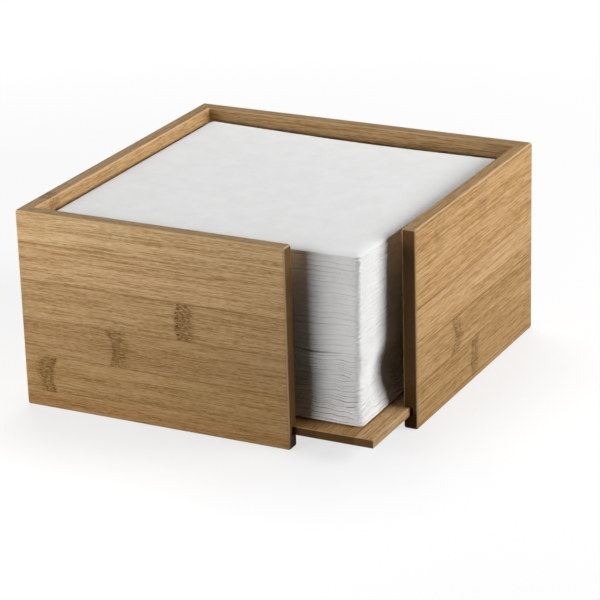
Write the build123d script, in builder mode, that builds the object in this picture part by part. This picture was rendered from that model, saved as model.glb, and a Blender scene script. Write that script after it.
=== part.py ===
from build123d import *
import os
from math import cos, radians, sin

# Napkin holder: a square, open-topped bamboo box that stands on the lower edges of its walls.
# One corner is left open over the whole height, so that fingers reach the napkins, and a thin
# base plate sits in grooves in the walls, clear of the table.
# Millimetres. Origin at the middle of the underside, +Z up, the open corner at +X -Y.

# the folded paper napkins that the box is made for
napkin_side = 165.0  # a 330 mm luncheon napkin, folded in four
napkin_thickness = 1.25  # four layers of soft paper, as they lie in a full stack
air_between_napkins = 0.05
napkin_corner_radius = 3.0
lower_pack_count = 28  # the upper pack has as many as the box then still holds
stacking_drift = 0.35  # how far a napkin lies off the middle of the stack
drift_turn = 137.5  # degrees from one napkin's drift to the next one's

# the room that the box leaves around the napkins
room_left = 3.1
room_right = 7.1
room_back = 3.1
room_front = 7.1
rim_above_napkins = 4.2

# the boards
wall_height = 101.0
wall_thickness = 7.4
plate_thickness = 4.3
plate_above_table = 6.7
groove_depth = 4.9  # into a wall, from its inner face
groove_end_gap = 1.5  # from the plate's edge to the bottom of the groove
groove_play = 0.2  # over the plate, for glue
edge_radius = 1.3  # sanded round on the edges of the glued box
plate_edge_radius = 0.4

# the open corner
corner_opening = 45.2  # missing from the front wall and from the right wall

# worked out from the sizes above
inner_width = room_left + napkin_side + room_right
inner_depth = room_front + napkin_side + room_back
outer_width = inner_width + 2 * wall_thickness
outer_depth = inner_depth + 2 * wall_thickness
plate_tongue = groove_depth - groove_end_gap

napkin_pitch = napkin_thickness + air_between_napkins
plate_top = plate_above_table + plate_thickness
stack_count = round((wall_height - rim_above_napkins - plate_top) / napkin_pitch)
upper_pack_count = stack_count - lower_pack_count - 1
upper_pack_base = plate_top + lower_pack_count * napkin_pitch
top_napkin_base = upper_pack_base + upper_pack_count * napkin_pitch

stack_x = (room_left - room_right) / 2
stack_y = (room_front - room_back) / 2


def box_corner(side, width, depth):
    """A corner of a rectangle around the origin, from the signs of its X and Y."""
    return (side[0] * width / 2, side[1] * depth / 2)


def napkin_places(first, count, base):
    """A plane under each napkin of a pack, every one drifted a little another way."""
    places = []
    for index in range(count):
        angle = radians(drift_turn * (first + index))
        x = stack_x + stacking_drift * cos(angle)
        y = stack_y + stacking_drift * sin(angle)
        places.append(Plane(origin=(x, y, base + index * napkin_pitch)))
    return places


def finish(builder, name):
    """Names a finished piece and writes it to its own file."""
    builder.part.label = name
    export_step(builder.part, f"parts/{name}.step")


os.makedirs("parts", exist_ok=True)

# The box as it leaves the sander: four boards glued up, one corner open, its edges rounded
# over and the groove for the plate running round the inside. The inner corners stay sharp.
with BuildPart() as glued_box:
    with BuildSketch():
        Rectangle(outer_width, outer_depth)
        fillet(vertices(), edge_radius)
        Rectangle(inner_width, inner_depth, mode=Mode.SUBTRACT)
        open_corner = box_corner((1, -1), outer_width, outer_depth)
        with Locations(open_corner):
            Rectangle(2 * corner_opening, 2 * corner_opening, mode=Mode.SUBTRACT)
        board_ends = vertices().sort_by_distance(open_corner)[:4]
        fillet(board_ends, edge_radius)
    extrude(amount=wall_height)
    rims = faces().filter_by(Axis.Z).edges()
    fillet(rims, edge_radius)
    with BuildSketch(Plane.XY.offset(plate_above_table)):
        Rectangle(inner_width + 2 * groove_depth, inner_depth + 2 * groove_depth)
    extrude(amount=plate_thickness + groove_play, mode=Mode.SUBTRACT)

# Each board runs between two corners of the box and is mitred where it meets the next one.
boards = {
    "front_wall": ((-1, -1), (1, -1)),
    "right_wall": ((1, -1), (1, 1)),
    "back_wall": ((1, 1), (-1, 1)),
    "left_wall": ((-1, 1), (-1, -1)),
}
for name, (start, end) in boards.items():
    with BuildPart() as board:
        add(glued_box.part)
        with BuildSketch():
            with BuildLine():
                Polyline(
                    box_corner(start, outer_width, outer_depth),
                    box_corner(end, outer_width, outer_depth),
                    box_corner(end, inner_width, inner_depth),
                    box_corner(start, inner_width, inner_depth),
                    close=True,
                )
            make_face()
        extrude(amount=wall_height, mode=Mode.INTERSECT)
    finish(board, name)

# The base plate: its edges lie in the grooves, and its near corner shows in the open corner.
with BuildPart() as base_plate:
    with BuildSketch(Plane.XY.offset(plate_above_table)):
        Rectangle(inner_width + 2 * plate_tongue, inner_depth + 2 * plate_tongue)
    extrude(amount=plate_thickness)
    fillet(edges(), plate_edge_radius)
finish(base_plate, "base_plate")

# The napkins lie in two packs with one loose napkin on top. Each napkin is a solid of its own.
with BuildPart() as lower_napkins:
    with BuildSketch(*napkin_places(0, lower_pack_count, plate_top)):
        RectangleRounded(napkin_side, napkin_side, napkin_corner_radius)
    extrude(amount=napkin_thickness)
finish(lower_napkins, "lower_napkins")

with BuildPart() as upper_napkins:
    with BuildSketch(*napkin_places(lower_pack_count, upper_pack_count, upper_pack_base)):
        RectangleRounded(napkin_side, napkin_side, napkin_corner_radius)
    extrude(amount=napkin_thickness)
finish(upper_napkins, "upper_napkins")

with BuildPart() as top_napkin:
    with BuildSketch(Plane((stack_x, stack_y, top_napkin_base))):
        RectangleRounded(napkin_side, napkin_side, napkin_corner_radius)
    extrude(amount=napkin_thickness)
finish(top_napkin, "top_napkin")
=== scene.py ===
from math import pi, radians

import bpy
import numpy as np
from mathutils import Matrix, Vector


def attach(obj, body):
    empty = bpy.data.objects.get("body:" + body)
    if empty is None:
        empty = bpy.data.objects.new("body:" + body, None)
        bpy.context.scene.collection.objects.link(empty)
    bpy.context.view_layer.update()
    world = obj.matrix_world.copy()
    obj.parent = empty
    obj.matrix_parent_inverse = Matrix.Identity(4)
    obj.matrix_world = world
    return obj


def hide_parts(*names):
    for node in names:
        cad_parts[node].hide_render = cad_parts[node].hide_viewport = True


# Bamboo napkin holder, dressed for a studio picture. The four boards and the base plate are the
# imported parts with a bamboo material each; the three packs of napkins are modelled here, one
# closed mesh per napkin. Everything is in metres; sizes in the dictionaries are millimetres.

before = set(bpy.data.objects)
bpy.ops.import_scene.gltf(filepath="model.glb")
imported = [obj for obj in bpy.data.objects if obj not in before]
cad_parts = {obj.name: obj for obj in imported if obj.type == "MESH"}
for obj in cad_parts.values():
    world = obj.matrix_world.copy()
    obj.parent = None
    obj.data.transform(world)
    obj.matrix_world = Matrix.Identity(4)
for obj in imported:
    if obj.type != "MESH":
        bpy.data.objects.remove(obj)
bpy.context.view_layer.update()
print("frame loaded,", len(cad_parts), "nodes")

# The camera stands where the photograph was taken from.
camera = {
    "place": (0.5722, -1.0976, 0.5092),  # metres
    "turn": 27.185,  # degrees round the box, from straight in front
    "down": 20.978,
    "roll": -1.681,
    "lens": 158.363,
    "sensor": 36.0,
}

cameraData = bpy.data.cameras.new("studioCamera")
cameraData.sensor_fit = "HORIZONTAL"
cameraData.sensor_width = camera["sensor"]
cameraData.lens = camera["lens"]
cameraObject = bpy.data.objects.new("studioCamera", cameraData)
cameraObject.matrix_world = (
    Matrix.Translation(camera["place"])
    @ Matrix.Rotation(radians(camera["turn"]), 4, "Z")
    @ Matrix.Rotation(radians(90 - camera["down"]), 4, "X")
    @ Matrix.Rotation(radians(camera["roll"]), 4, "Z")
)
bpy.context.scene.collection.objects.link(cameraObject)
bpy.context.scene.camera = cameraObject
bpy.context.scene.view_settings.view_transform = "Standard"
print("camera placed")


def linear(hexColour):  # an sRGB hex colour as the linear RGBA that Blender's sockets take
    parts = [int(hexColour[i:i + 2], 16) / 255 for i in (1, 3, 5)]
    parts = [p / 12.92 if p <= 0.04045 else ((p + 0.055) / 1.055) ** 2.4 for p in parts]
    return (*parts, 1.0)


def addNode(tree, kind, inputs=None, **settings):  # inputs are values, sockets or whole nodes
    node = tree.nodes.new("ShaderNode" + kind)
    for name, value in settings.items():
        setattr(node, name, value)
    for key, value in (inputs or {}).items():
        if isinstance(value, bpy.types.Node):
            value = value.outputs[0]
        if isinstance(value, bpy.types.NodeSocket):
            tree.links.new(value, node.inputs[key])
        else:
            node.inputs[key].default_value = value
    return node


def newMaterial(name):
    material = bpy.data.materials.new(name)
    material.use_nodes = True
    material.node_tree.nodes.clear()
    return material, material.node_tree


# Flat-pressed bamboo: strips about 19 mm wide, split from the cane, planed and glued edge to
# edge, then sanded and given a matt varnish. To the eye that is straight honey-coloured strips of
# slightly different tone, fine fibre streaks along them, and across each strip one dark, bowed
# knuckle where the cane had its node. Edges of a board show the strips' narrow side, darker and
# finely lined, and sawn ends show the fibre bundles as rows of dark dots.
bambooLook = {
    "light": "#D2B086",
    "middle": "#C19C6D",
    "dark": "#9B774A",
    "darkFibre": "#845F34",
    "knuckle": "#5A3A12",
    "glue": "#7C562F",
    "endGrain": "#6D4F2F",
    "endDot": "#54391C",
    "stripWidth": 19.3,
    # width, length, weight and detail of the grain's four streaks; real fibre bundles are 0.3 mm
    # and finer, drawn coarser so that they show
    "ripple": (0.5, 3.4, 0.95, 1.0),
    "fibre": (0.4, 15.0, 1.2, 1.0),
    "streak": (1.0, 55.0, 0.55, 2.0),
    "band": (4.5, 150.0, 0.7, 3.0),
    "contrast": 0.62,
    "stripShift": 900.0,  # the most by which a strip's grain is moved along, so that no two match
    "singleFibre": (14.0, 0.75, 0.75),  # length along, across and through, as the sizes below
    "singleFibreShade": 0.25,
    # the fibres bend in soft swirls of this size, pushed aside by this much near a knuckle and by
    # this share of it elsewhere
    "swirl": (16.0, 8.0, 12.0),
    "swirlPush": 0.7,
    "swirlElsewhere": 0.12,
    "swirlReach": (1.0, 15.0),
    # a knuckle's line, the fan of dark fibres beside it, how it fades at the strip's edges, how
    # far the line strays, and the short strokes that it is made of
    "knuckleCore": 2.0,
    "knuckleFan": 7.2,
    "fanShade": 0.8,
    "knuckleFade": 0.9,
    "knuckleStray": 0.8,
    "strayScale": 0.17,
    "stroke": (1.5, 0.5, 2.0),
    "strokeShade": (0.1, 1.0),  # between the strokes and on them
    "glueWidth": 0.28,
    "glueShade": (0.75, 0.1),  # where the joint is strong and where it fades
    "bundles": (0.45, 1.7),  # the dots of a sawn end: flattening and number per mm, drawn coarser
    "bundleShade": 0.6,
    # how much paler the rounded edges are drawn: a painted highlight for the light they catch
    "paintedEdgeHighlight": 0.6,
    "roughness": 0.62,
    "specular": 0.09,
    "glossSpread": 0.06,
    "relief": 0.35,
    "fibreDepth": 0.05,
}
noiseLow, noiseHigh = 0.3, 0.7  # nearly all of a noise texture's values lie between these
edgeFrom, edgeFull = 0.55, 0.85  # a face turned this far counts as an edge or an end of the board

# grain: the axes along the fibres, across the strips and through the board.
# strips: a tint for each strip, from the first joint on; on some boards these tints also hold
# painted shade and painted light, as noted at each board.
# grainStretch: how long the grain's streaks are on this board, next to the sizes above.
# edgeShade: how dark the strips' narrow side is, next to the wide one.
# knuckles: (place along the fibres, strip counted from the first joint, bow, strength, side to
# which the dark fibres fan out)
boards = {
    "front_wall": {
        "grain": "XZY",
        "firstJoint": -11.2,
        # the strips get darker towards the bottom: painted shade for the light falling off lower
        # down, over each strip's own tone
        "strips": ["#D6CBB8", "#DBD8CA", "#D7D4CB", "#E4E4DF", "#F2F3F4", "#F9FDFF"],
        "knuckles": [
            (-79, 1, 1.5, 1.0, -1),
            (-45, 2, -2.0, 0.8, 1),
            (-8, 3, 1.5, 1.0, 1),
        ],
        "grainStretch": 1.0,
        "edgeShade": 0.6,
        "seed": 3.1,
    },
    "right_wall": {
        "grain": "YZX",
        "firstJoint": -16.3,
        # the lower strips are darker: painted shade for the light falling off lower down, over
        # each strip's own tone
        "strips": [
            "#E0D8C4", "#E6E1D2", "#F2EFE6", "#FDFAF4", "#FFFAF2", "#FFFAF2", "#F8F4EC",
        ],
        "knuckles": [
            (16, 1, 1.0, 0.75, 1),
            (-6, 2, -4.5, 0.8, 1),
            (-25, 5, 2.0, 0.3, 1),
            (34, 5, 2.0, 0.2, -1),
        ],
        "grainStretch": 1.8,
        "edgeShade": 0.66,
        "seed": 17.7,
    },
    "back_wall": {
        "grain": "XZY",
        "firstJoint": -7.0,
        "strips": ["#E8E0D2", "#F2EEE6", "#E4DCCD", "#FFFFFF", "#F4F1EB", "#FBF9F5"],
        "knuckles": [
            (-38, 0, 2.0, 0.8, 1),
            (47, 2, -2.0, 0.9, -1),
            (-71, 3, 1.5, 0.8, 1),
            (12, 4, 2.0, 0.7, 1),
        ],
        "grainStretch": 1.2,
        "edgeShade": 0.56,
        "seed": 29.4,
    },
    "left_wall": {
        "grain": "YZX",
        "firstJoint": -12.5,
        "strips": ["#E2D9C8", "#F4F0E9", "#E9E3D7", "#F8F6F1", "#EFEAE0", "#FFFFFF"],
        "knuckles": [
            (61, 1, 2.0, 0.9, 1),
            (-22, 2, 1.5, 0.8, -1),
            (8, 4, -2.0, 0.8, 1),
            (-74, 5, 1.5, 0.7, 1),
        ],
        "grainStretch": 1.2,
        "edgeShade": 0.6,
        "seed": 41.9,
    },
    "base_plate": {
        "grain": "YXZ",
        "firstJoint": -93.0,
        # the eighth and ninth strips, from beside the front wall's end towards the pile's corner,
        # are darker: painted shadow; the last, at the open corner, is palest: painted light; the
        # others are the strips' own tones
        "strips": [
            "#E6DDCD", "#F0EBE1", "#E2D8C6", "#EEE8DC", "#E4DBCA",
            "#ECE5D8", "#E9E1D3", "#C2B59F", "#D8CDBA", "#FFFFFF",
        ],
        "knuckles": [
            (-30, 2, 1.5, 0.8, 1),
            (52, 4, 2.0, 0.8, 1),
            (5, 6, 1.5, 0.8, -1),
            (-62, 7, 1.0, 0.7, 1),
        ],
        "grainStretch": 1.3,
        "edgeShade": 0.82,
        "seed": 57.3,
    },
}


def bambooMaterial(name, board):
    look = bambooLook
    material, tree = newMaterial(name)
    where = addNode(tree, "TexCoord")
    split = addNode(tree, "SeparateXYZ", {0: where.outputs["Object"]})
    facing = addNode(tree, "SeparateXYZ", {0: where.outputs["Normal"]})
    millimetres, turned = {}, {}
    for axis in "XYZ":
        millimetres[axis] = addNode(
            tree, "Math", {0: split.outputs[axis], 1: 1000.0}, operation="MULTIPLY"
        )
        turned[axis] = addNode(tree, "Math", {0: facing.outputs[axis]}, operation="ABSOLUTE")
    along, across, through = (millimetres[axis] for axis in board["grain"])

    # which strip, and a random number of its own for it
    fromJoint = addNode(tree, "Math", {0: across, 1: board["firstJoint"]}, operation="SUBTRACT")
    inStrips = addNode(tree, "Math", {0: fromJoint, 1: look["stripWidth"]}, operation="DIVIDE")
    strip = addNode(tree, "Math", {0: inStrips}, operation="FLOOR")
    stripSeed = addNode(tree, "Math", {0: strip, 1: board["seed"]}, operation="ADD")
    stripRandom = addNode(tree, "TexWhiteNoise", {"W": stripSeed}, noise_dimensions="1D")

    # knuckles: a bowed dark line across one strip, straying a little, with a fan of dark fibres
    # at one side of it
    strayPlace = addNode(tree, "CombineXYZ", {0: along, 1: across, 2: through})
    stray = addNode(
        tree,
        "TexNoise",
        {
            "Vector": strayPlace,
            "W": board["seed"],
            "Scale": look["strayScale"],
            "Detail": 0.0,
        },
        noise_dimensions="4D",
    )
    strayBy = addNode(
        tree,
        "MapRange",
        {0: stray, 1: noiseLow, 2: noiseHigh, 3: -look["knuckleStray"], 4: look["knuckleStray"]},
        clamp=False,
    )
    knuckleMask, knuckleHalo = None, None
    halfStrip = look["stripWidth"] / 2
    for place, number, bow, strength, side in board["knuckles"]:
        middle = board["firstJoint"] + (number + 0.5) * look["stripWidth"]
        up = addNode(tree, "Math", {0: across, 1: middle}, operation="SUBTRACT")
        upShare = addNode(tree, "Math", {0: up, 1: halfStrip}, operation="DIVIDE")
        bowed = addNode(tree, "Math", {0: upShare, 1: upShare}, operation="MULTIPLY")
        line = addNode(
            tree, "Math", {0: bowed, 1: bow, 2: place - bow / 2}, operation="MULTIPLY_ADD"
        )
        off = addNode(tree, "Math", {0: along, 1: line}, operation="SUBTRACT")
        strayed = addNode(tree, "Math", {0: off, 1: strayBy}, operation="ADD")
        distance = addNode(tree, "Math", {0: strayed}, operation="ABSOLUTE")
        height = addNode(tree, "Math", {0: up}, operation="ABSOLUTE")
        inside = addNode(
            tree,
            "MapRange",
            {0: height, 1: halfStrip - look["knuckleFade"], 2: halfStrip, 3: strength, 4: 0.0},
            interpolation_type="SMOOTHSTEP",
        )
        core = addNode(
            tree,
            "MapRange",
            {
                0: distance,
                1: 0.3 * look["knuckleCore"],
                2: look["knuckleCore"],
                3: 1.0,
                4: 0.0,
            },
            interpolation_type="SMOOTHSTEP",
        )
        beside = addNode(
            tree, "Math", {0: strayed, 1: 0.5 * side * look["knuckleFan"]}, operation="SUBTRACT"
        )
        besideFar = addNode(tree, "Math", {0: beside}, operation="ABSOLUTE")
        fan = addNode(
            tree,
            "MapRange",
            {
                0: besideFar,
                1: 0.2 * look["knuckleFan"],
                2: look["knuckleFan"],
                3: look["fanShade"],
                4: 0.0,
            },
            interpolation_type="SMOOTHSTEP",
        )
        near = addNode(tree, "Math", {0: core, 1: fan}, operation="MAXIMUM")
        around = addNode(
            tree,
            "MapRange",
            {0: distance, 1: look["swirlReach"][0], 2: look["swirlReach"][1], 3: 1.0, 4: 0.0},
            interpolation_type="SMOOTHSTEP",
        )
        mask = addNode(tree, "Math", {0: near, 1: inside}, operation="MULTIPLY")
        halo = addNode(tree, "Math", {0: around, 1: inside}, operation="MULTIPLY")
        if knuckleMask:
            mask = addNode(tree, "Math", {0: mask, 1: knuckleMask}, operation="MAXIMUM")
            halo = addNode(tree, "Math", {0: halo, 1: knuckleHalo}, operation="MAXIMUM")
        knuckleMask, knuckleHalo = mask, halo

    # the fibres run round a knuckle: their place across the board is pushed about near one
    swirlPlace = [
        addNode(tree, "Math", {0: axis, 1: size}, operation="DIVIDE")
        for axis, size in zip((along, across, through), look["swirl"])
    ]
    swirlVector = addNode(tree, "CombineXYZ", dict(enumerate(swirlPlace)))
    swirl = addNode(
        tree,
        "TexNoise",
        {"Vector": swirlVector, "W": board["seed"] + 5, "Scale": 1.0, "Detail": 1.0},
        noise_dimensions="4D",
    )
    swirlBy = addNode(
        tree,
        "MapRange",
        {0: swirl, 1: noiseLow, 2: noiseHigh, 3: -look["swirlPush"], 4: look["swirlPush"]},
        clamp=False,
    )
    atKnuckle = addNode(tree, "Math", {0: swirlBy, 1: knuckleHalo}, operation="MULTIPLY")
    push = addNode(
        tree,
        "Math",
        {0: swirlBy, 1: look["swirlElsewhere"], 2: atKnuckle},
        operation="MULTIPLY_ADD",
    )
    bent = addNode(tree, "Math", {0: across, 1: push}, operation="ADD")

    # four widths of streak along the fibres, added up; each strip starts somewhere else in them
    shifted = addNode(
        tree,
        "Math",
        {0: stripRandom, 1: look["stripShift"], 2: along},
        operation="MULTIPLY_ADD",
    )
    streaks, sumAll, half = {}, 0.0, 0.0
    for streak in ("ripple", "fibre", "streak", "band"):
        width, length, weight, detail = look[streak]
        sizes = (length * board["grainStretch"], width, width)
        place = [
            addNode(tree, "Math", {0: axis, 1: size}, operation="DIVIDE")
            for axis, size in zip((shifted, bent, through), sizes)
        ]
        vector = addNode(tree, "CombineXYZ", dict(enumerate(place)))
        streaks[streak] = addNode(
            tree,
            "TexNoise",
            {
                "Vector": vector,
                "W": board["seed"],
                "Scale": 1.0,
                "Detail": detail,
                "Roughness": 0.6,
            },
            noise_dimensions="4D",
        )
        sumAll = addNode(
            tree, "Math", {0: streaks[streak], 1: weight, 2: sumAll}, operation="MULTIPLY_ADD"
        )
        half += weight / 2
    reach = look["contrast"] / 2
    tone = addNode(tree, "MapRange", {0: sumAll, 1: half - reach, 2: half + reach})
    grain = addNode(tree, "ValToRGB", {0: tone})
    ramp = grain.color_ramp
    ramp.elements[0].color = linear(look["dark"])
    ramp.elements[1].color = linear(look["light"])
    ramp.elements.new(0.5).color = linear(look["middle"])

    # single dark fibres, where their noise is highest
    fibrePlace = [
        addNode(tree, "Math", {0: axis, 1: size}, operation="DIVIDE")
        for axis, size in zip((shifted, bent, through), look["singleFibre"])
    ]
    fibreVector = addNode(tree, "CombineXYZ", dict(enumerate(fibrePlace)))
    fibres = addNode(
        tree,
        "TexNoise",
        {"Vector": fibreVector, "W": board["seed"] + 9, "Scale": 1.0, "Detail": 1.0},
        noise_dimensions="4D",
    )
    fibreMask = addNode(
        tree, "MapRange", {0: fibres, 1: 0.6, 2: 0.75, 3: 0.0, 4: look["singleFibreShade"]}
    )
    withFibres = addNode(
        tree,
        "Mix",
        {0: fibreMask, 6: grain, 7: linear(look["darkFibre"])},
        data_type="RGBA",
    ).outputs[2]

    # each strip has its own tint, which on some boards also carries painted shade and painted
    # light
    stripTintsAndShade = board["strips"]
    stripShare = addNode(
        tree, "Math", {0: inStrips, 1: len(stripTintsAndShade)}, operation="DIVIDE", use_clamp=True
    )
    tintAndShade = addNode(tree, "ValToRGB", {0: stripShare})
    tintAndShade.color_ramp.interpolation = "CONSTANT"
    while len(tintAndShade.color_ramp.elements) < len(stripTintsAndShade):
        tintAndShade.color_ramp.elements.new(1.0)
    for number, hexColour in enumerate(stripTintsAndShade):
        tintAndShade.color_ramp.elements[number].position = number / len(stripTintsAndShade)
        tintAndShade.color_ramp.elements[number].color = linear(hexColour)
    toned = addNode(
        tree, "Mix", {0: 1.0, 6: withFibres, 7: tintAndShade}, data_type="RGBA", blend_type="MULTIPLY"
    ).outputs[2]

    # glue lines between the strips, stronger here and weaker there
    share = addNode(tree, "Math", {0: inStrips}, operation="FRACT")
    fromMiddle = addNode(tree, "Math", {0: share, 1: 0.5}, operation="SUBTRACT")
    toEdge = addNode(tree, "Math", {0: fromMiddle}, operation="ABSOLUTE")
    glueShare = look["glueWidth"] / look["stripWidth"]
    glueLine = addNode(
        tree,
        "MapRange",
        {0: toEdge, 1: 0.5 - 2 * glueShare, 2: 0.5 - 0.5 * glueShare, 3: 0.0, 4: 1.0},
    )
    strong, faded = look["glueShade"]
    glueShade = addNode(
        tree, "MapRange", {0: streaks["band"], 1: 0.35, 2: 0.6, 3: strong, 4: faded}
    )
    glueMask = addNode(tree, "Math", {0: glueLine, 1: glueShade}, operation="MULTIPLY")
    glued = addNode(
        tree, "Mix", {0: glueMask, 6: toned, 7: linear(look["glue"])}, data_type="RGBA"
    ).outputs[2]

    # the knuckle itself is broken up into short dark strokes
    strokePlace = [
        addNode(tree, "Math", {0: axis, 1: size}, operation="DIVIDE")
        for axis, size in zip((along, bent, through), look["stroke"])
    ]
    strokeVector = addNode(tree, "CombineXYZ", dict(enumerate(strokePlace)))
    strokes = addNode(
        tree,
        "TexNoise",
        {"Vector": strokeVector, "W": board["seed"] + 2, "Scale": 1.0, "Detail": 1.0},
        noise_dimensions="4D",
    )
    between, on = look["strokeShade"]
    strokeMask = addNode(tree, "MapRange", {0: strokes, 1: 0.34, 2: 0.64, 3: between, 4: on})
    knuckleShade = addNode(tree, "Math", {0: strokeMask, 1: knuckleMask}, operation="MULTIPLY")
    knuckled = addNode(
        tree, "Mix", {0: knuckleShade, 6: glued, 7: linear(look["knuckle"])}, data_type="RGBA"
    ).outputs[2]

    # edges of the board, where the strips show their narrow side
    edgeOn = addNode(
        tree,
        "MapRange",
        {0: turned[board["grain"][1]], 1: edgeFrom, 2: edgeFull, 3: 1.0, 4: board["edgeShade"]},
    )
    edged = addNode(
        tree, "Mix", {0: 1.0, 6: knuckled, 7: edgeOn}, data_type="RGBA", blend_type="MULTIPLY"
    ).outputs[2]

    # sawn ends: fibre bundles cut across, in rows and wider than they are thick
    dotAcross = addNode(tree, "Math", {0: across, 1: look["bundles"][0]}, operation="MULTIPLY")
    dotPlace = addNode(tree, "CombineXYZ", {0: dotAcross, 1: through})
    dots = addNode(tree, "TexVoronoi", {"Vector": dotPlace, "Scale": look["bundles"][1]})
    dotMask = addNode(
        tree, "MapRange", {0: dots, 1: 0.15, 2: 0.5, 3: look["bundleShade"], 4: 0.0}
    )
    # the sawn ends take the strips' tints too, painted shade and light included
    endPlain = addNode(
        tree,
        "Mix",
        {0: 1.0, 6: linear(look["endGrain"]), 7: tintAndShade},
        data_type="RGBA",
        blend_type="MULTIPLY",
    ).outputs[2]
    endColour = addNode(
        tree, "Mix", {0: dotMask, 6: endPlain, 7: linear(look["endDot"])}, data_type="RGBA"
    ).outputs[2]
    endOn = addNode(
        tree, "MapRange", {0: turned[board["grain"][0]], 1: edgeFrom, 2: edgeFull, 3: 0.0, 4: 1.0}
    )
    ended = addNode(tree, "Mix", {0: endOn, 6: edged, 7: endColour}, data_type="RGBA").outputs[2]

    # painted highlight: the rounded edges are drawn paler, standing for the light they catch;
    # there no axis is square to the face
    flattest = addNode(tree, "Math", {0: turned["X"], 1: turned["Y"]}, operation="MAXIMUM")
    flattest = addNode(tree, "Math", {0: flattest, 1: turned["Z"]}, operation="MAXIMUM")
    paintedEdgeHighlight = addNode(
        tree, "MapRange", {0: flattest, 1: 0.97, 2: 0.8, 3: 0.0, 4: look["paintedEdgeHighlight"]}
    )
    finished = addNode(
        tree, "Mix", {0: paintedEdgeHighlight, 6: ended, 7: linear(look["light"])}, data_type="RGBA"
    ).outputs[2]

    gloss = addNode(
        tree,
        "MapRange",
        {
            0: tone,
            3: look["roughness"] + look["glossSpread"],
            4: look["roughness"] - look["glossSpread"],
        },
    )
    relief = addNode(tree, "Math", {0: tone, 1: knuckleShade}, operation="SUBTRACT")
    bump = addNode(
        tree,
        "Bump",
        {"Height": relief, "Strength": look["relief"], "Distance": look["fibreDepth"] / 1000},
    )
    shader = addNode(
        tree,
        "BsdfPrincipled",
        {
            "Base Color": finished,
            "Roughness": gloss,
            "Specular IOR Level": look["specular"],
            "Normal": bump,
        },
    )
    addNode(tree, "OutputMaterial", {"Surface": shader})
    return material


for name, board in boards.items():
    bamboo = bambooMaterial(name.replace("_", "-") + "-bamboo-matt-varnish", board)
    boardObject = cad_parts[name]
    if not boardObject.data.materials:
        boardObject.data.materials.append(bamboo)
    for slot in boardObject.material_slots:
        slot.material = bamboo
print("bamboo on", len(boards), "pieces")

# Two-ply tissue napkins, quarter folded: bleached, soft and matt, with the faint crepe and
# pressed grain of tissue. Cut and folded edges scatter light, so the pile's sides stay bright.
tissueLook = {
    "colour": "#F0F0F0",
    "shade": "#E9E9E8",
    "crepe": 0.8,  # real crepe is 0.2 mm, drawn coarser so that it shows
    "mottle": 9.0,
    "crepeDepth": 0.06,
    "relief": 0.3,
    "roughness": 0.95,
    "specular": 0.1,
}


def tissueMaterial(name):
    look = tissueLook
    material, tree = newMaterial(name)
    where = addNode(tree, "TexCoord")
    crepe = addNode(
        tree,
        "TexNoise",
        {"Vector": where.outputs["Object"], "Scale": 1000 / look["crepe"], "Detail": 2.0},
    )
    mottle = addNode(
        tree,
        "TexNoise",
        {"Vector": where.outputs["Object"], "Scale": 1000 / look["mottle"], "Detail": 2.0},
    )
    both = addNode(tree, "Math", {0: crepe, 1: mottle}, operation="ADD")
    tone = addNode(tree, "MapRange", {0: both, 1: 0.7, 2: 1.3, 3: 0.0, 4: 1.0})
    colour = addNode(
        tree,
        "Mix",
        {0: tone, 6: linear(look["shade"]), 7: linear(look["colour"])},
        data_type="RGBA",
    ).outputs[2]
    bump = addNode(
        tree,
        "Bump",
        {"Height": crepe, "Strength": look["relief"], "Distance": look["crepeDepth"] / 1000},
    )
    shader = addNode(
        tree,
        "BsdfPrincipled",
        {
            "Base Color": colour,
            "Roughness": look["roughness"],
            "Specular IOR Level": look["specular"],
            "Normal": bump,
        },
    )
    addNode(tree, "OutputMaterial", {"Surface": shader})
    return material


tissue = tissueMaterial("napkin-tissue-soft-white")
print("tissue made")

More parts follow.
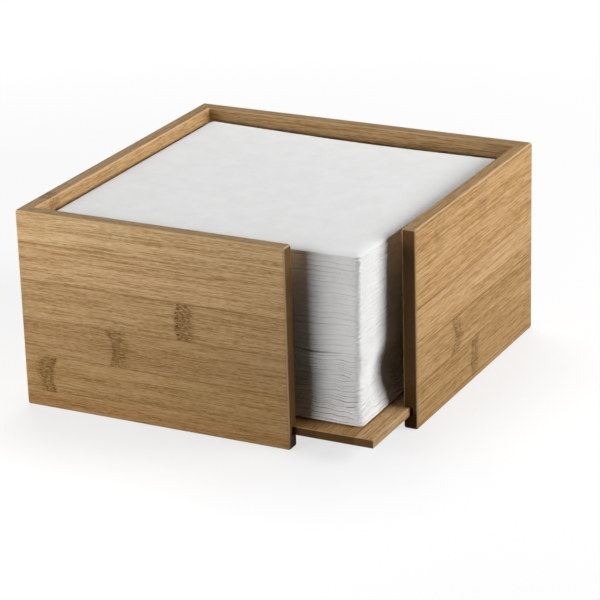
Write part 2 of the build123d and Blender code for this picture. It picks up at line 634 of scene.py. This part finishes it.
# The pile, in millimetres. It is set down by hand, so its near faces stand in and out a little
# over its height, its top sags towards the back and falls off at its edges.
pile = {
    "side": 165.0,  # of a folded napkin
    "left": -84.5,  # the far faces
    "back": 84.5,
    "right": 81.1,  # the foremost places of the near faces
    "front": -80.9,
    "heights": [11, 15, 20, 27, 38, 45, 48, 56, 72, 90, 97],
    "rightFace": [80.7, 79.7, 78.7, 78.3, 79.0, 80.0, 79.7, 79.8, 80.2, 80.7, 81.1],
    "frontFace": [-80.7, -80.1, -79.5, -79.2, -79.6, -80.2, -80.0, -80.1, -80.3, -80.6, -80.9],
    "plate": 11.0,
    "parting": 47.4,
    "counts": [0, 28, 65, 66],  # napkins, counted from the plate, and the heights they reach
    "levels": [11.0, 47.4, 95.2, 96.6],
    "corners": (96.4, 97.0, 94.3, 96.1),  # top: front left, front right, back right, back left
    "nearCorners": -80.5,
    "backDip": 1.0,
    "topWave": (0.16, 21.0, 26.0),  # height, and length along x and y
    "edgeDroop": 1.3,
    "droopWidth": 2.4,
    "edgeLift": 0.7,  # the bottom napkins curl up a little at their edges
    "liftWidth": 2.0,
    # the packs part in front, beside the front wall's end: there the lower pack's top and the
    # upper pack's underside dip
    "dipPlace": (55.0, -80.0),
    "dipSize": (10.0, 16.0),
    "dipBelow": 1.9,
    "dipAbove": 1.1,
    "partingWave": (0.3, 9.0, 14.0),
    "looseThickness": 1.45,
    "aboveThePlate": 0.03,  # what the packs keep clear of the plate, the parting and each other
    "belowTheParting": 0.06,
    "aboveTheParting": 0.04,
    "belowTheLoose": 0.04,
    # a ply's folded edge seen from its end: (height, inset), with -1 for the gap under it
    "plies": 2,
    "fold": [(0, -1), (0.1, 0.14), (0.25, 0.05), (0.5, 0.0), (0.75, 0.05), (0.9, 0.14)],
    "leastGap": 0.15,
    "frayLength": (5.0, 30.0),
    "thicknessSpread": 0.14,
    "leastThickness": 0.3,
    "farRadii": [4.0, 5.0, 4.0],
    "faceChange": (75.5, -81.0, 3.0),  # from here the right face's gaps take over from the front's
    "crinkleReach": 9.0,
    "crinkleWaves": 7,
    # points along a napkin's near and far edges and round its corners
    "nearPoints": 46,
    "farPoints": 22,
    "cornerPoints": 6,
    # rings of points on a napkin's flat faces, as shares of its size: few where they are hidden
    "hiddenRings": (0.97, 0.5),
    "shownRings": (0.985, 0.97, 0.95, 0.92, 0.88, 0.82, 0.74, 0.64, 0.52, 0.4, 0.27, 0.13),
}

# wave, jitter, fray and crinkle: how uneven the sheets' thickness, places and edges are, and how
# they crinkle near the edges. gap: depth of the closed and of the open gaps between napkins. air:
# a gap's height as a share of a napkin's. openFront and openRight: how far the gaps stand open on
# each face. first and count: the pack's napkins, counted from the plate.
packs = {
    "lower_napkin_pack": {
        "body": "lower_pack",
        "replaces": "lower_napkins",
        "first": 0,
        "count": 28,
        "wave": 0.34,
        "waveLength": (9.0, 46.0),
        "jitter": 0.2,
        "fray": 0.2,
        "gap": (0.3, 2.6),
        "openFront": 1.0,
        "openRight": 0.5,
        "gapLength": (3.5, 12.0),
        "air": (0.02, 0.13),
        "gapChange": 0.75,
        "crinkle": 0.24,
        "crinkleLength": (4.5, 15.0),
        "radius": 3.2,
        "squeeze": (2.2, 30.0, 12.0),  # of its right face: depth, height and reach
        "seed": 11,
    },
    "upper_napkin_pack": {
        "body": "upper_pack",
        "replaces": "upper_napkins",
        "first": 28,
        "count": 37,
        "wave": 0.16,
        "waveLength": (16.0, 90.0),
        "jitter": 0.14,
        "fray": 0.12,
        "gap": (0.3, 2.8),
        "openFront": 0.45,
        "openRight": 1.7,
        "gapLength": (6.0, 40.0),
        "air": (0.02, 0.13),
        "gapChange": 0.5,
        "crinkle": 0.1,
        "crinkleLength": (8.0, 30.0),
        "radius": 2.2,
        "wavyBottom": 0.34,  # the sheets over the parting are wavier
        "looseTop": 1.22,  # the last two lie loose
        "seed": 23,
    },
    "loose_top_napkin": {
        "body": "loose_napkin",
        "replaces": "top_napkin",
        "first": 65,
        "count": 1,
        "wave": 0.1,
        "waveLength": (20.0, 90.0),
        "jitter": 0.1,
        "fray": 0.1,
        "gap": (0.3, 0.6),
        "openFront": 1.0,
        "openRight": 1.0,
        "gapLength": (6.0, 40.0),
        "air": (0.02, 0.04),
        "gapChange": 0.2,
        "crinkle": 0.1,
        "crinkleLength": (12.0, 40.0),
        "radius": 2.6,
        "seed": 37,
    },
}


def ripple(dice, x, y, shortest, longest, waves=5):  # a smooth random surface, about -1 to 1
    total = np.zeros_like(x)
    for _ in range(waves):
        angle, phase = dice.uniform(0, pi), dice.uniform(0, 2 * pi)
        length = np.exp(dice.uniform(np.log(shortest), np.log(longest)))
        total += np.sin(2 * pi * (x * np.cos(angle) + y * np.sin(angle)) / length + phase)
    return total / waves ** 0.5 / 1.4


def edgeDistance(x, y):  # how far a place is from the pile's nearest edge, seen from above
    sideways = np.minimum(x - pile["left"], pile["right"] - x)
    return np.maximum(np.minimum(sideways, np.minimum(pile["back"] - y, y - pile["front"])), 0)


def pileTop(x, y):  # the top of the whole pile
    u = (x - pile["left"]) / pile["side"]
    v = (y - pile["nearCorners"]) / pile["side"]
    frontLeft, frontRight, backRight, backLeft = pile["corners"]
    tall, longX, longY = pile["topWave"]
    front = frontLeft + (frontRight - frontLeft) * u
    back = backLeft + (backRight - backLeft) * u
    top = front + (back - front) * v - pile["backDip"] * np.sin(pi * np.clip(u, 0, 1)) * v ** 2
    top = top - pile["edgeDroop"] * np.exp(-edgeDistance(x, y) / pile["droopWidth"])
    return top + tall * np.sin(x / longX + 1.0) * np.sin(y / longY + 0.4)


def partingHeight(x, y, dip):  # where the packs part
    (placeX, placeY), (sizeX, sizeY) = pile["dipPlace"], pile["dipSize"]
    tall, longX, longY = pile["partingWave"]
    dipShare = np.exp(-(((x - placeX) / sizeX) ** 2) - ((y - placeY) / sizeY) ** 2)
    return pile["parting"] - dip * dipShare - tall * np.sin(x / longX + y / longY) ** 2


def packFloorAndTop(name, x, y):
    if name == "lower_napkin_pack":
        curl = pile["edgeLift"] * np.exp(-edgeDistance(x, y) / pile["liftWidth"])
        top = partingHeight(x, y, pile["dipBelow"]) - pile["belowTheParting"]
        return pile["plate"] + pile["aboveThePlate"] + curl, top
    if name == "upper_napkin_pack":
        low = partingHeight(x, y, pile["dipAbove"]) + pile["aboveTheParting"]
        return low, pileTop(x, y) - pile["looseThickness"] - pile["belowTheLoose"]
    top = pileTop(x, y)
    return top - pile["looseThickness"], top


def outline(right, front, left, back, radii):  # a napkin's edge seen from above, and its normals
    points, normals = [], []
    near = np.linspace(0, 1, pile["nearPoints"])[1:-1]
    near = 0.25 * near + 0.75 * near ** 2  # closer together next to the open corner
    far = np.linspace(0, 1, pile["farPoints"])[1:-1]
    corners = [(right, front), (right, back), (left, back), (left, front)]
    steps = [near, far, far, 1 - near[::-1]]
    for index, (cornerX, cornerY) in enumerate(corners):
        radius = radii[index]
        signX = -1 if cornerX == left else 1
        signY = -1 if cornerY == front else 1
        centre = (cornerX - signX * radius, cornerY - signY * radius)
        for angle in np.linspace(-pi / 2, 0, pile["cornerPoints"]) + index * pi / 2:
            normal = (np.cos(angle), np.sin(angle))
            points.append((centre[0] + radius * normal[0], centre[1] + radius * normal[1]))
            normals.append(normal)
        nextX, nextY = corners[(index + 1) % 4]
        nextRadius = radii[(index + 1) % 4]
        start = np.array(points[-1])
        direction = np.sign([nextX - cornerX, nextY - cornerY])
        end = np.array((nextX, nextY)) - direction * nextRadius
        for step in steps[index]:
            points.append(start + (end - start) * step)
            normals.append(normals[-1])
    return np.array(points), np.array(normals)


def napkinPack(name, look):
    dice = np.random.default_rng(look["seed"])
    count, plies = look["count"], pile["plies"]
    waveSeeds = dice.integers(1, 10 ** 6, count)
    amounts = np.full(count, look["wave"])
    thick = 1 + dice.uniform(-pile["thicknessSpread"], pile["thicknessSpread"], count)
    if "wavyBottom" in look:
        amounts[:5] += look["wavyBottom"] * np.exp(-np.arange(5) / 2.5)
        thick[-2:] = look["looseTop"]
    # the gaps between napkins: every other one, between two folded edges, stands open
    wide = (np.arange(count + 1) % 2) * dice.uniform(0.4, 1.0, count + 1)
    gaps, airs = (low + (high - low) * wide for low, high in (look["gap"], look["air"]))
    gapSeeds = dice.integers(1, 10 ** 6, count + 1)

    def sharesBelow(x, y):  # share of the pack's height below each napkin and below its top
        if count == 1:
            return [0 * x, 0 * x + 1]
        rows = [np.zeros_like(x)]
        for index in range(count):
            wave = ripple(np.random.default_rng(waveSeeds[index]), x, y, *look["waveLength"])
            waved = np.maximum(1 + amounts[index] * wave, pile["leastThickness"])
            rows.append(rows[-1] + thick[index] * waved)
        return [row / rows[-1] for row in rows]

    def openness(x, y):  # the gaps stand open more on one face of the pile than on the other
        placeX, placeY, width = pile["faceChange"]
        rightness = np.clip((x - placeX) / width, 0, 1) * np.clip((y - placeY) / width, 0, 1)
        return look["openFront"] + (look["openRight"] - look["openFront"]) * rightness

    crinkles = [  # direction, phase, length and height of each wave
        (
            dice.uniform(0, pi),
            dice.uniform(0, 2 * pi),
            dice.uniform(*look["crinkleLength"]),
            dice.uniform(1.5, 4),
        )
        for _ in range(pile["crinkleWaves"])
    ]

    def crinkleField(x, y, z):
        total = np.zeros_like(x)
        for angle, phase, length, tall in crinkles:
            total += np.sin(
                2 * pi * (x * np.cos(angle) + y * np.sin(angle)) / length + phase + z / tall
            )
        return total / 2.6

    vertices, faces = [], []
    profile = []  # (height, inset, ply) from bottom to top
    for ply in range(plies):
        profile += [(ply + up, inset, ply) for up, inset in pile["fold"]]
    profile.append((plies, -1, plies - 1))
    for index in range(count):
        middleHeight = np.interp(look["first"] + index + 0.5, pile["counts"], pile["levels"])
        right = np.interp(middleHeight, pile["heights"], pile["rightFace"])
        front = np.interp(middleHeight, pile["heights"], pile["frontFace"])
        moved = dice.uniform(-look["jitter"], look["jitter"], 4)
        radii = [look["radius"] + dice.uniform(-0.2, 0.2)] + pile["farRadii"]
        edge, normals = outline(
            right + moved[0],
            front + moved[1],
            pile["left"] + moved[2],
            pile["back"] + moved[3],
            radii,
        )
        if "squeeze" in look:  # deepest in the middle of the right face
            amount, place, reach = look["squeeze"]
            squeeze = amount * np.exp(-(((middleHeight - place) / reach) ** 2))
            fromNear = np.clip((edge[:, 1] + 72) / 16, 0, 1) * (edge[:, 0] > 60)
            edge[:, 0] -= squeeze * fromNear * np.clip((80 - edge[:, 1]) / 30, 0, 1)
        x, y = edge[:, 0], edge[:, 1]
        size = len(edge)
        plyShift = dice.uniform(-0.5, 0.5, plies) * look["fray"]
        plySeeds = dice.integers(1, 10 ** 6, plies)
        rings = []
        for height, inset, ply in profile:
            if inset < 0:  # a gap, opening and closing along the edge
                between = 0 < height < plies
                number = index + (height > 0)
                gapDice = np.random.default_rng(gapSeeds[number])
                changing = ripple(gapDice, x, y, *look["gapLength"], 4)
                opening = gaps[0] if between else gaps[number] * (1 + look["gapChange"] * changing)
                inset = np.maximum(opening * openness(x, y), pile["leastGap"])
            plyDice = np.random.default_rng(plySeeds[ply])
            fray = look["fray"] * ripple(plyDice, x, y, *pile["frayLength"], 4)
            depth = np.maximum(inset + plyShift[ply] + fray, -0.5)
            rings.append((edge - normals * depth[:, None], height / plies))
        centre = edge.mean(0)
        topRing, bottomRing = rings[-1][0], rings[0][0]
        onTop = pile["shownRings"] if index == count - 1 else pile["hiddenRings"]
        below = pile["shownRings"] if index == 0 else pile["hiddenRings"]
        capUp = [(centre + (topRing - centre) * scale, 1.0) for scale in onTop]
        capDown = [(centre + (bottomRing - centre) * scale, 0.0) for scale in below]
        allRings = capDown[::-1] + rings + capUp
        start = len(vertices)
        for ring, height in allRings + [(centre[None], 0.0), (centre[None], 1.0)]:
            low, top = packFloorAndTop(name, ring[:, 0], ring[:, 1])
            shares = sharesBelow(ring[:, 0], ring[:, 1])
            opened = openness(ring[:, 0], ring[:, 1])
            airBelow, airAbove = airs[index] * opened, airs[index + 1] * opened
            part = airBelow + (1 - airBelow - airAbove) * height
            share = shares[index] + (shares[index + 1] - shares[index]) * part
            z = low + (top - low) * share
            if count > 1:  # soft sheets crinkle near their edges, each one with its neighbours
                room = np.minimum(1, np.minimum(top - z, z - low) / 1.5)
                near = np.exp(-edgeDistance(ring[:, 0], ring[:, 1]) / pile["crinkleReach"])
                z = z + look["crinkle"] * near * room * crinkleField(ring[:, 0], ring[:, 1], z)
            vertices += [(px / 1000, py / 1000, pz / 1000) for px, py, pz in zip(*ring.T, z)]
        for ring in range(len(allRings) - 1):
            for point in range(size):
                following = (point + 1) % size
                a = start + ring * size
                b = a + size
                faces.append((a + point, a + following, b + following, b + point))
        bottomCentre = start + len(allRings) * size
        last = start + (len(allRings) - 1) * size
        for point in range(size):
            following = (point + 1) % size
            faces.append((start + following, start + point, bottomCentre))
            faces.append((last + point, last + following, bottomCentre + 1))
    mesh = bpy.data.meshes.new(name)
    mesh.from_pydata(vertices, [], faces)
    mesh.polygons.foreach_set("use_smooth", [True] * len(faces))
    mesh.materials.append(tissue)
    pack = bpy.data.objects.new(name, mesh)
    bpy.context.scene.collection.objects.link(pack)
    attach(pack, look["body"])
    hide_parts(look["replaces"])
    print(name, "has", count, "napkins and", len(faces), "faces")


for name, look in packs.items():
    napkinPack(name, look)

# Floor, light and surroundings, for the studio picture only.
studio = {
    "floorRadius": 3.0,
    "floorCorners": 64,
    "floorBounce": "#62605E",
    "shadowShare": 0.3,  # how much of the floor's look is its real, shadowed light
    "shadowReach": (0.30, 0.62),  # metres from the middle, over which the floor turns plain white
    "ambient": 0.0,  # light from all round
    # softboxes: where they stand, in metres, their size and their power; all face the open corner
    "aim": (0.07, -0.07, 0.05),
    "softboxes": {
        "key": {"place": (1.116, 0.311, 0.5), "size": (0.85, 0.36), "watts": 15.5},
        "fill": {"place": (-0.2, -0.422, 0.128), "size": (0.34, 0.2), "watts": 1.6},
        "top": {"place": (-0.23, 0.45, 1.089), "size": (0.6, 0.6), "watts": 7.6},
    },
}

floorMesh = bpy.data.meshes.new("studio_floor")
angles = np.linspace(0, 2 * pi, studio["floorCorners"] + 1)[:-1]
rim = [(studio["floorRadius"] * np.cos(a), studio["floorRadius"] * np.sin(a), 0.0) for a in angles]
floorMesh.from_pydata(rim, [], [tuple(range(studio["floorCorners"]))])
floor = bpy.data.objects.new("studio_floor", floorMesh)
bpy.context.scene.collection.objects.link(floor)


def seenPlain(tree):  # 1 where a thing is seen, also mirrored or through glass, 0 where it lights
    path = addNode(tree, "LightPath")
    seen = addNode(
        tree,
        "Math",
        {0: path.outputs["Is Camera Ray"], 1: path.outputs["Is Glossy Ray"]},
        operation="ADD",
    )
    return addNode(
        tree,
        "Math",
        {0: seen, 1: path.outputs["Is Transmission Ray"]},
        operation="ADD",
        use_clamp=True,
    )


floorMaterial, tree = newMaterial("studio-floor-white-paper")
where = addNode(tree, "TexCoord")
away = addNode(tree, "VectorMath", {0: where.outputs["Object"]}, operation="LENGTH")
plainWhite = addNode(
    tree,
    "MapRange",
    {
        0: away.outputs["Value"],
        1: studio["shadowReach"][0],
        2: studio["shadowReach"][1],
        3: 1 - studio["shadowShare"],
        4: 1.0,
    },
    interpolation_type="SMOOTHSTEP",
)
lit = addNode(tree, "BsdfDiffuse", {"Color": linear("#FFFFFF")})
glow = addNode(tree, "Emission", {"Color": linear("#FFFFFF"), "Strength": 1.0})
shown = addNode(tree, "MixShader", {0: plainWhite, 1: lit, 2: glow})
bounce = addNode(tree, "BsdfDiffuse", {"Color": linear(studio["floorBounce"])})
floorShader = addNode(tree, "MixShader", {0: seenPlain(tree), 1: bounce, 2: shown})
addNode(tree, "OutputMaterial", {"Surface": floorShader})
floorMesh.materials.append(floorMaterial)

for name, lamp in studio["softboxes"].items():
    data = bpy.data.lights.new(name + "Softbox", "AREA")
    data.shape = "RECTANGLE"
    data.size, data.size_y = lamp["size"]
    data.energy = lamp["watts"]
    softbox = bpy.data.objects.new(name + "Softbox", data)
    place, aim = Vector(lamp["place"]), Vector(studio["aim"])
    facing = (place - aim).to_track_quat("Z", "Y").to_matrix().to_4x4()
    softbox.matrix_world = Matrix.Translation(place) @ facing
    bpy.context.scene.collection.objects.link(softbox)

world = bpy.data.worlds.new("studio")
world.use_nodes = True
tree = world.node_tree
tree.nodes.clear()
strength = addNode(tree, "MapRange", {0: seenPlain(tree), 3: studio["ambient"], 4: 1.0})
surround = addNode(tree, "Background", {"Color": linear("#FFFFFF"), "Strength": strength})
addNode(tree, "OutputWorld", {"Surface": surround})
bpy.context.scene.world = world
print("studio lit")
